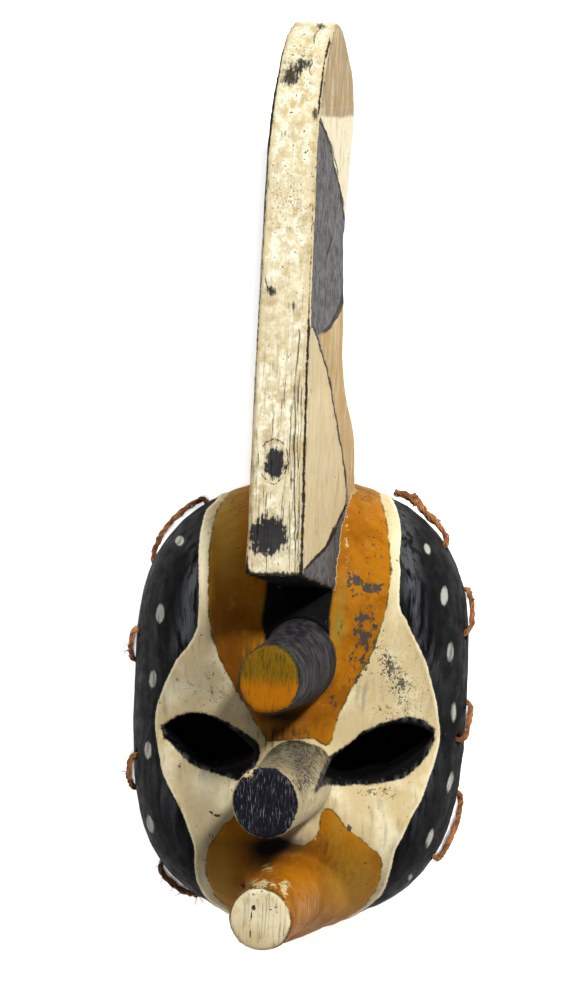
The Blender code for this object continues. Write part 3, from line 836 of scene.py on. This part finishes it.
def maskMaterial():
    made, tree, shader = newMaterial("painted_wood")
    plus, minus, times, larger = mathTools(tree)
    size, over = partial(calc, tree, "ABSOLUTE"), partial(noiseAt, tree)
    ramp, mix, field = partial(stretch, tree), partial(mixed, tree), partial(attribute, tree)
    wobble = times(minus(over(420.0, 3.0, 0.6), 0.5), 1.6)      # in millimetres, for the borders
    big = over(34.0, 4.0, 0.6)
    mid = over(130.0, 4.0, 0.62)
    fine = over(900.0, 3.0, 0.6)
    grain = over(620.0, 4.0, 0.62, 0.0, 0.055)
    hair = over(1300.0, 3.0, 0.55, 0.4, 0.035)
    thread = over(2300.0, 3.0, 0.6, 0.3, 0.09, (0.2, 0.5, 0.1))
    streak = over(240.0, 4.0, 0.6, 0.0, 0.16, (0.3, 0.1, 0.2))
    blotch = over(300.0, 4.0, 0.65, 0.0, 0.7, (0.7, 0.2, 0.4))
    ragged = times(minus(grain, 0.5), 5.0)

    def edge(name, soft=0.15, rough=1.0):
        return ramp(plus(field(name), times(wobble, rough)), -soft, soft)

    def shareOf(name, noiseValue, low, high):
        return times(field(name), ramp(noiseValue, low, high), clamp=True)

    def coats(under, *layers):
        # paint over paint: how much of each coat shows, and its colour
        for share, tone in layers:
            under = mix(share, under, paint[tone] if isinstance(tone, str) else tone)
        return under

    side, high = field("bladeSide"), field("high")
    front = ramp(field("bladeFront"), -0.2, 0.4)

    # black bands, and the rubbed grey of the blade's sides
    black = coats(
        paint["black"],
        (ramp(streak, 0.60, 0.80, 0.0, 0.15), "blackRubbed"),
        (shareOf("streaks", streak, 0.38, 0.60), "blackRubbed"))
    grey = coats(
        paint["bladeGrey"],
        (ramp(blotch, 0.36, 0.62), "bladeGreyLight"),
        (ramp(hair, 0.55, 0.70, 0.0, 0.6), "grimeAndShade"),
        (ramp(streak, 0.62, 0.72, 0.0, 0.5), "blackRubbed"))
    black = mix(side, black, grey)

    # cream paint: plain on the cheeks, streaked on the blade's sides, patchy on its front, lighter on the
    # strips as painted light and greyer on the left cheek as painted shade
    lighter = times(ramp(big, 0.45, 0.68, 0.0, 0.7), minus(1.0, times(side, 0.8)))
    cream = coats(
        mix(side, paint["cream"], mix(high, paint["lens"], paint["topCream"])),
        (lighter, "creamPale"),
        (ramp(mid, 0.52, 0.74, 0.0, 0.5), "creamYellow"),
        (ramp(streak, 0.54, 0.76, 0.0, 0.6), "creamGrey"))
    edgeStain = times(ramp(field("edgeSide"), 4.5, 0.5, 0.0, 0.55), ramp(blotch, 0.36, 0.56))
    frontCream = coats(
        paint["frontCream"],
        (ramp(blotch, 0.40, 0.60), "frontPale"),
        (ramp(big, 0.40, 0.62, 0.55, 0.0), "frontCream"),
        (plus(ramp(mid, 0.48, 0.68, 0.0, 0.55), edgeStain, clamp=True), "stain"))
    cream = coats(
        mix(front, cream, frontCream),
        (times(field("stripLit"), 0.8, clamp=True), "creamPale"),
        (times(field("greyShade"), 0.62, clamp=True), "creamGrey"))

    # orange paint, with painted light and painted shade in patches, and the tan of the blade's sides
    orange = coats(
        paint["orange"],
        (ramp(big, 0.44, 0.64, 0.0, 0.6), "orangeDeep"),
        (ramp(mid, 0.54, 0.70, 0.0, 0.6), "orangeDeep"),
        (ramp(mid, 0.30, 0.46, 0.35, 0.0), "orangePale"),
        (shareOf("orangeLit", mid, 0.1, 0.4), "orangePale"),
        (shareOf("orangeShade", mid, 0.2, 0.5), "orangeDeep"),
        (shareOf("olive", streak, 0.25, 0.5), "olive"),
        (shareOf("green", grain, 0.38, 0.58), "green"))
    tan = coats(
        mix(high, paint["tan"], paint["tanTip"]),
        (ramp(streak, 0.46, 0.68, 0.0, 0.8), "lens"),
        (times(ramp(mid, 0.48, 0.66, 0.0, 0.6), high), "stain"))

    # the zones together, with rubbed eye rims, and the black recess whose soft edge is painted shade
    rimWear = times(ramp(field("eyeRim"), 3.2, 0.6), ramp(streak, 0.44, 0.60, 0.0, 0.8))
    colour = coats(
        black,
        (edge("cream"), cream),
        (edge("tan", 1.0, 2.2), tan),
        (edge("orange"), orange),
        (edge("eyeRim", 0.6, 1.5), mix(rimWear, paint["black"], paint["rimRubbed"])),
        (edge("recess", 1.8, 1.5), "black"),
        (times(edge("dab", 0.4, 0.55), ramp(streak, 0.32, 0.52, 0.45, 1.0)), "dab"))

    # the forehead peg is dark, the nose darkens towards its top as painted shade under the forehead peg, and
    # the ends have colours of their own
    pegShare = times(edge("pegBody", 0.6), minus(1.0, edge("foreheadEnd", 0.1, 0.5)))
    noseTopShade = times(edge("noseBody", 0.6), ramp(field("seenY"), 800.0, 740.0, 0.25, 0.95))
    upper = ramp(plus(field("seenY"), times(ragged, 5.0)), 690.0, 672.0)
    endLines = times(ramp(thread, 0.50, 0.60), plus(times(upper, 0.75), 0.15))
    endTone = mix(endLines, mix(upper, paint["endOrange"], paint["endMustard"]), paint["green"])
    noseLines = times(ramp(thread, 0.54, 0.66), ramp(mid, 0.36, 0.56, 0.25, 0.9))
    noseEdge = minus(plus(field("noseEnd"), times(wobble, 1.3)), 0.35)
    colour = coats(
        colour,
        (pegShare, mix(ramp(streak, 0.40, 0.66), paint["pegDark"], paint["pegGrey"])),
        (noseTopShade, mix(ramp(blotch, 0.42, 0.60), paint["noseDark"], paint["noseGrey"])),
        (edge("foreheadEnd", 0.15, 0.6), endTone),
        (ramp(noseEdge, -0.1, 0.1), mix(noseLines, paint["blueBlack"], paint["noseGrain"])))
    for name, strength in (("foreheadEnd", 0.9), ("chinEnd", 0.55)):
        rim = size(plus(field(name), times(wobble, 0.6)))
        rimShare = times(ramp(rim, 0.7, 0.25), ramp(mid, 0.36, 0.52))
        colour = mix(times(rimShare, strength), colour, paint["grimeAndShade"])

    # dark line where orange meets cream, a painted highlight along the cheek panels' outer border, worn pale
    # and pink patches, and painted shadows
    line = times(ramp(size(plus(field("orange"), wobble)), 0.7, 0.1), ramp(mid, 0.35, 0.6))
    line = times(times(line, 0.85), minus(1.0, front))
    ridge = times(ramp(size(minus(field("cheek"), 0.6)), 1.2, 0.3), edge("cream"))
    pale = field("pale")
    patchy = ramp(plus(blotch, times(pale, 0.24)), 0.62, 0.70)
    colour = coats(
        colour,
        (line, "green"),
        (times(times(ridge, 0.6), ramp(streak, 0.36, 0.54)), "creamPale"),
        (times(patchy, times(pale, 2.5, clamp=True)), "cream"),
        (shareOf("pink", grain, 0.42, 0.60), "pink"),
        # painted shadows under the pegs
        (shareOf("shade", big, 0.0, 0.3), "grimeAndShade"))

    # open grain, and the dark lines along the corners of the blade's front
    ends = larger(larger(field("foreheadEnd"), field("noseEnd")), field("chinEnd"))
    openGrain = larger(times(front, field("grainy")), ramp(ends, -0.1, 0.3, 0.0, 0.45))
    openGrain = larger(larger(openGrain, times(side, 0.4)), 0.12)
    fibres = times(ramp(hair, 0.53, 0.64), ramp(grain, 0.42, 0.58))
    grainShare = times(times(fibres, ramp(mid, 0.35, 0.55, 0.4, 1.0)), openGrain)
    width = field("edgeWidth")
    cornerGap = plus(larger(field("edgeSide"), field("edgeBelow")), times(wobble, 0.9))
    cornerShare = times(ramp(minus(cornerGap, width), 0.2, -0.2), ramp(width, 0.05, 0.25))
    browned = mix(times(ramp(high, 0.0, 0.6), ramp(high, 1.0, 0.9)), paint["grimeAndShade"], paint["brown"])

    # specks, worn places, smudges with painted shadow on the nose's top, and drawn lines
    speck, smudgeShadeField = field("speck"), field("smudgeAndShade")
    specks = ramp(plus(fine, times(speck, 0.16)), 0.69, 0.74)
    spots = ramp(plus(blotch, times(speck, 0.17)), 0.67, 0.77)
    worn = ramp(plus(blotch, times(field("worn"), 0.20)), 0.66, 0.72)
    smudgeAndShade = ramp(plus(minus(smudgeShadeField, 0.65), times(ragged, 0.55)), -0.25, 0.45)
    smudgeAndShade = times(smudgeAndShade, ramp(smudgeShadeField, 0.08, 0.5))
    coreEdge = plus(times(ragged, 0.30), times(minus(blotch, 0.5), 2.5))
    core = ramp(plus(field("core"), coreEdge), 0.70, 1.15)
    ring = times(ramp(size(plus(field("oval"), times(wobble, 1.3))), 0.4, 0.15), ramp(grain, 0.42, 0.50))
    shaky = times(minus(mid, 0.5), 5.0)
    onSides = allLines(tree, plus(field("sideX"), shaky), field("sideY"), sideLines)
    onFront = allLines(tree, plus(field("seenX"), shaky), field("seenY"), frontLines)
    onFront = times(times(onFront, front), ramp(grain, 0.36, 0.52, 0.15, 0.8))
    chips = ramp(plus(field("drawn"), times(wobble, 0.35)), -0.12, 0.12)
    drawn = larger(larger(times(onSides, side), onFront), chips)
    colour = coats(
        colour,
        (times(grainShare, 0.85), "grimeAndShade"),
        (times(cornerShare, 0.95), browned),
        (times(specks, 0.85), "grimeAndShade"),
        (times(spots, 0.75), "worn"),
        (times(worn, 0.93), "worn"),
        (times(smudgeAndShade, 0.9), "grimeAndShade"),
        (times(core, 0.95), "blueBlack"),
        (times(ring, 0.85), "grimeAndShade"),
        (times(drawn, 0.93), "grimeAndShade"))

    # bare wood inside
    bare = mix(ramp(grain, 0.35, 0.7), paint["bareWood"], paint["grimeAndShade"])
    colour = mix(ramp(plus(field("inside"), wobble), -0.3, 0.5), colour, bare)
    tree.links.new(colour, shader.inputs["Base Color"])
    tree.links.new(ramp(mid, 0.3, 0.7, 0.55, 0.75), shader.inputs["Roughness"])
    shader.inputs["Specular IOR Level"].default_value = 0.08

    height = plus(plus(times(fine, 0.22), times(mid, 0.6)), times(streak, 0.4))
    height = minus(minus(height, grainShare), times(drawn, 1.4))
    height = minus(plus(height, times(edge("cream", 0.5), 0.8)), line)
    addBump(tree, shader, height, maskSkin["bump"])
    return made


# Fibre lacing: the holes by their angle round the rim, and how far each stitch reaches
lace = {
    "diameter": 0.0034, "clearance": 0.0009, "holeHeight": 0.0125, "bulge": 0.0012,
    "right": ((134.0, 19.0), (97.0, 12.0), (62.0, 11.0), (38.5, 13.0)),
    "left": ((-27.0, 21.0), (-66.0, 11.0), (-108.0, 11.0), (-141.0, 16.0)),
    "knotAway": 11.0, "knotSwell": 2.1,
    "strands": 6, "strandRadius": 0.00056, "pitch": 0.019,
    "hairs": 70, "hairRadius": 0.00016, "bundle": 26,
    "step": 0.0012, "insideStep": 9.0, "bump": 0.0003,
    "dark": (0.20, 0.075, 0.022), "pale": (0.50, 0.22, 0.08), "hairDark": (0.10, 0.035, 0.012),
}


def besideWall(turn, z, offset, drop=0.0):
    # a place beside the wall: outside it for an offset above zero, else inside it
    angle = math.radians(turn)
    wall, front = (0.0, 0.0) if offset > 0 else (shell["rimWall"], shell["frontWall"])
    reach = float(wallReach(angle, z, wall, front)) + offset
    y = reach * math.cos(angle)
    return Vector((reach * math.sin(angle) + float(leanOff(y)), y, z - drop))


def roundEdge(turn, tilt, radius):
    # a place under the rim, tilted from straight outward to straight inward
    tilt = math.radians(tilt)
    return besideWall(turn, rimHeight(turn), radius * math.cos(tilt), radius * math.sin(tilt))


def throughHole(turn, away):
    z = rimHeight(turn) + lace["holeHeight"]
    inner, outer = besideWall(turn, z, -1e-6), besideWall(turn, z, 1e-6)
    return [besideWall(turn + 4.5, z, -away * 1.4), besideWall(turn + 1, z, -away * 1.3),
            inner, (inner + outer) / 2, outer, besideWall(turn - 1, z, away * 1.2)]


def stitchRoute(turn, reach, away):
    z = rimHeight(turn) + lace["holeHeight"]
    route = throughHole(turn, away)
    for share, drop in ((0.32, 0.10), (0.62, 0.48)):
        low = z - (lace["holeHeight"] - away) * drop
        route.append(besideWall(turn - reach * share, low, away + lace["bulge"]))
    for share, tilt in ((0.86, 10), (0.93, 50), (0.98, 88), (1.02, 92), (1.07, 130), (1.14, 172)):
        route.append(roundEdge(turn - reach * share, tilt, away))
    route.append(besideWall(turn - reach * 1.3, z - lace["holeHeight"] * 0.3, -away * 1.35))
    return route


def insideRun(start, end, away):
    span = end - start
    count = max(1, round(abs(span) / lace["insideStep"]))
    turns = [start + span * i / count for i in range(1, count)]
    return [besideWall(turn, rimHeight(turn) + lace["holeHeight"], -away * 1.35) for turn in turns]


def knotAndTail(turn, away, tailTurn):
    return [besideWall(at, rimHeight(at) + lace["holeHeight"] * height, -away * lace["knotSwell"] * out)
            for at, height, out in ((turn, 1.2, 1.15), (turn + tailTurn, 1.3, 1.0))]


def lacingRoute(stitches, outerEnd):
    away = lace["diameter"] / 2 + lace["clearance"]
    route = list(reversed(knotAndTail(stitches[0][0] + lace["knotAway"], away, 4.0)))
    for (hole, reach), (following, _) in zip(stitches, stitches[1:]):
        route += stitchRoute(hole, reach, away) + insideRun(hole - reach * 1.3, following + 4.5, away)
    hole, reach = stitches[-1]
    if outerEnd:
        route += throughHole(hole, away)
        for share, height, offset in ((0.35, 0.9, 1.4), (0.7, 0.8, 1.3), (1.0, 0.7, 2.0), (1.4, 0.8, 1.4)):
            turn = hole - reach * share
            route.append(besideWall(turn, rimHeight(turn) + lace["holeHeight"] * height, away * offset))
    else:
        route += stitchRoute(hole, reach, away) + knotAndTail(hole - reach * 1.9, away, -4.0)
    return [point + Vector(faceMiddle) for point in route]


def smoothRoute(points, gap):
    ends = [points[0] * 2 - points[1]] + points + [points[-1] * 2 - points[-2]]
    line = []
    for a, b, c, d in zip(ends, ends[1:], ends[2:], ends[3:]):
        count = max(1, round((c - b).length / gap))
        for k in range(count):
            line.append(onCurve(a, b, c, d, k / count))
    return line + [points[-1]]


def strandCurve(name, line, radius, sides=1):
    data = bpy.data.curves.new(name, "CURVE")
    data.dimensions = "3D"
    data.bevel_depth = radius
    data.bevel_resolution = sides
    data.use_fill_caps = True
    spline = data.splines.new("POLY")
    spline.points.add(len(line) - 1)
    for point, (spot, swell) in zip(spline.points, line):
        point.co = (*spot, 1.0)
        point.radius = swell
    return placed(name, data)


def joinPieces(name, parts):
    graph = bpy.context.evaluated_depsgraph_get()
    bm = bmesh.new()
    for part in parts:
        mesh = bpy.data.meshes.new_from_object(part.evaluated_get(graph))
        bm.from_mesh(mesh)
        bpy.data.meshes.remove(mesh)
        bpy.data.objects.remove(part)
    made = meshPiece(name, bm)
    made.data.shade_smooth()
    return made


def twistedStrands(name, line, seed, widen=1.0):
    # strands wound round the line, each a little thick and thin along its length
    chance = random.Random(seed)
    parts = []
    side = Vector((0.0, 0.0, 1.0))
    frames = []
    travelled = 0.0
    for i, spot in enumerate(line):
        ahead = (line[min(i + 1, len(line) - 1)] - line[max(i - 1, 0)]).normalized()
        side = (side - ahead * side.dot(ahead)).normalized()
        if i:
            travelled += (spot - line[i - 1]).length
        frames.append((spot, side.copy(), ahead.cross(side), travelled))
    for k in range(lace["strands"]):
        start = math.tau * k / lace["strands"] + chance.uniform(-0.3, 0.3)
        reach = (lace["diameter"] / 2 - lace["strandRadius"] * 1.1) * widen
        if k % 3 == 2:
            reach *= 0.55
        points = []
        for spot, a, b, far in frames:
            turn = start + math.tau * far / lace["pitch"] + 0.5 * math.sin(far * 260 + k)
            out = reach * (1 + 0.16 * math.sin(far * 410 + k * 2.1) + 0.10 * math.sin(far * 1130 + k))
            swell = 1 + 0.28 * math.sin(far * 330 + k * 1.3)
            points.append((spot + (a * math.cos(turn) + b * math.sin(turn)) * out, swell))
        parts.append(strandCurve(f"{name}_strand", points, lace["strandRadius"]))
    return parts


def knotTurns(name, middle, ahead, size, seed):
    # a cord turned on itself two and a half times
    chance = random.Random(seed)
    side = ahead.orthogonal().normalized()
    other = ahead.cross(side)
    parts = []
    for k in range(3):
        points = []
        lag = chance.uniform(0, math.tau)
        for i in range(41):
            t = i / 40
            turn = lag + t * math.tau * 2.3
            out = size * (0.62 + 0.12 * math.sin(turn * 1.5 + k))
            along = size * 0.75 * math.sin(t * math.pi * 2 + k * 1.1)
            around = (side * math.cos(turn) + other * math.sin(turn)) * out
            points.append((middle + around + ahead * along, 1.0))
        parts.append(strandCurve(f"{name}_knot", points, lace["strandRadius"] * 1.5))
    return parts


def looseFibres(name, line, seed):
    # short hairs that stand off the cord
    chance = random.Random(seed)
    parts = []
    for k in range(lace["hairs"]):
        at = chance.randrange(4, len(line) - 8)
        ahead = (line[at + 3] - line[at]).normalized()
        out = Vector((line[at].x - faceMiddle[0], line[at].y - faceMiddle[1], 0.0)).normalized()
        away = (ahead * chance.uniform(-0.6, 1.0) + out * chance.uniform(-0.2, 0.7)
                + Vector((0.0, 0.0, chance.uniform(0.0, 0.8)))).normalized()
        long = chance.uniform(0.003, 0.0085)
        bend = ahead.cross(away) * chance.uniform(-0.35, 0.35) * long
        start = line[at] + away * lace["diameter"] * 0.2
        steps = (0.0, 0.25, 0.5, 0.75, 1.0)
        points = [(start + away * long * t + bend * t * t, 1.0 - 0.6 * t) for t in steps]
        if min(spot.z for spot, swell in points) > 0.0008:
            parts.append(strandCurve(f"{name}_hair", points, lace["hairRadius"]))
    return parts


def lacingPiece(name, stitches, outerEnd, seed):
    route = lacingRoute(stitches, outerEnd)
    line = smoothRoute(route, lace["step"])
    parts = twistedStrands(name, line, seed) + looseFibres(name, line, seed + 4)
    swell = lace["diameter"] / 2 * lace["knotSwell"]
    for middle, beside in ((route[1], route[2]), (route[-2], route[-3])):
        parts += knotTurns(name, middle, (beside - middle).normalized(), swell * 0.85, seed + 1)
    if outerEnd:
        parts += twistedStrands(name, line[-lace["bundle"]:], seed + 5, 1.55)
    made = joinPieces(name, parts)
    print(name, len(made.data.polygons), "faces")
    return made


def fibreMaterial():
    made, tree, shader = newMaterial("plant_fibre")
    tone, hair = noiseAt(tree, 160.0, 3.0, 0.6), noiseAt(tree, 1400.0, 2.0, 0.5)
    hairShare = calc(tree, "MULTIPLY", stretch(tree, hair, 0.5, 0.7), 0.5)
    colour = mixed(tree, stretch(tree, tone, 0.35, 0.65), lace["dark"], lace["pale"])
    colour = mixed(tree, hairShare, colour, lace["hairDark"])
    tree.links.new(colour, shader.inputs["Base Color"])
    shader.inputs["Roughness"].default_value = 0.75
    addBump(tree, shader, hair, lace["bump"])
    return made


# Floor and light
studio = {
    "key": {"spot": (0.38, 0.60, 1.32), "size": 0.15, "power": 25.0},
    "fill": {"spot": (-0.8, 0.7, 1.4), "size": 1.2, "power": 3.0},
    "floorLamp": {"spot": (0.043, 0.003, 1.6), "size": 0.25, "power": 26.0},
    "zenith": 0.11, "horizon": 0.50,
    "floorTone": (0.90, 0.90, 0.90),
    "floorHalf": 3.0,
    "cardInset": 0.016,      # dark card on the floor under the hollow, standing in for the shade inside it, so the eye slits read dark
    "shadeCardTone": (0.015, 0.015, 0.015),
}


def areaLight(name):
    about = studio[name]
    data = bpy.data.lights.new(name, "AREA")
    data.shape = "DISK"
    data.size = about["size"]
    data.energy = about["power"]
    made = placed(name, data)
    made.location = about["spot"]
    made.rotation_mode = "QUATERNION"
    made.rotation_quaternion = (Vector((0.0, 0.0, 0.05)) - Vector(about["spot"])).to_track_quat("-Z", "Y")
    made.visible_camera = False
    return made


def stagePiece(name, bm, tone):
    piece = meshPiece(name, bm)
    made, tree, shader = newMaterial(name)
    shader.inputs["Base Color"].default_value = (*tone, 1.0)
    shader.inputs["Roughness"].default_value = 0.9
    shader.inputs["Specular IOR Level"].default_value = 0.1
    piece.data.materials.append(made)
    return piece


def roomLight():
    # brighter low down, so that little light falls straight into the eye slits
    world = bpy.data.worlds.new("room")
    world.use_nodes = True
    tree = world.node_tree
    where = tree.nodes.new("ShaderNodeTexCoord")
    parts = tree.nodes.new("ShaderNodeSeparateXYZ")
    tree.links.new(where.outputs["Generated"], parts.inputs[0])
    strength = stretch(tree, parts.outputs["Z"], 0.12, 0.42, studio["horizon"], studio["zenith"])
    tree.links.new(strength, tree.nodes["Background"].inputs["Strength"])
    tree.nodes["Background"].inputs["Color"].default_value = (1.0, 1.0, 1.0, 1.0)
    scene.world = world


def buildStudio():
    areaLight("key")
    areaLight("fill")
    roomLight()
    bm = bmesh.new()
    bmesh.ops.create_grid(bm, x_segments=1, y_segments=1, size=studio["floorHalf"])
    floor = stagePiece("floor", bm, studio["floorTone"])
    onlyFloor = bpy.data.collections.new("floor_only")
    onlyFloor.objects.link(floor)
    areaLight("floorLamp").light_linking.receiver_collection = onlyFloor
    # a dark card under the hollow: painted shade where the floor shows through the eye slits
    bm = bmesh.new()
    ring = bmesh.ops.create_circle(bm, cap_ends=True, segments=72, radius=1.0)
    for vert in ring["verts"]:
        angle = math.atan2(vert.co.x, vert.co.y)
        reach = float(rimReach(angle)) - studio["cardInset"]
        y = reach * math.cos(angle)
        vert.co = Vector((reach * math.sin(angle) + float(leanOff(y)), y, 0.0003)) + Vector(faceMiddle)
    stagePiece("under_shade_card", bm, studio["shadeCardTone"])


skin = dressMask()
skin.data.materials.clear()
skin.data.materials.append(maskMaterial())
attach(skin, "root")
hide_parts("carved_mask")

fibre = fibreMaterial()
for name, node, stitches, outerEnd, seed in (
        ("lacing_right", "rim_lacing_right", lace["right"], True, 3),
        ("lacing_left", "rim_lacing_left", lace["left"], False, 8)):
    cordPiece = lacingPiece(name, stitches, outerEnd, seed)
    cordPiece.data.materials.clear()
    cordPiece.data.materials.append(fibre)
    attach(cordPiece, "root")
    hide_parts(node)

buildStudio()
print("studio ready")
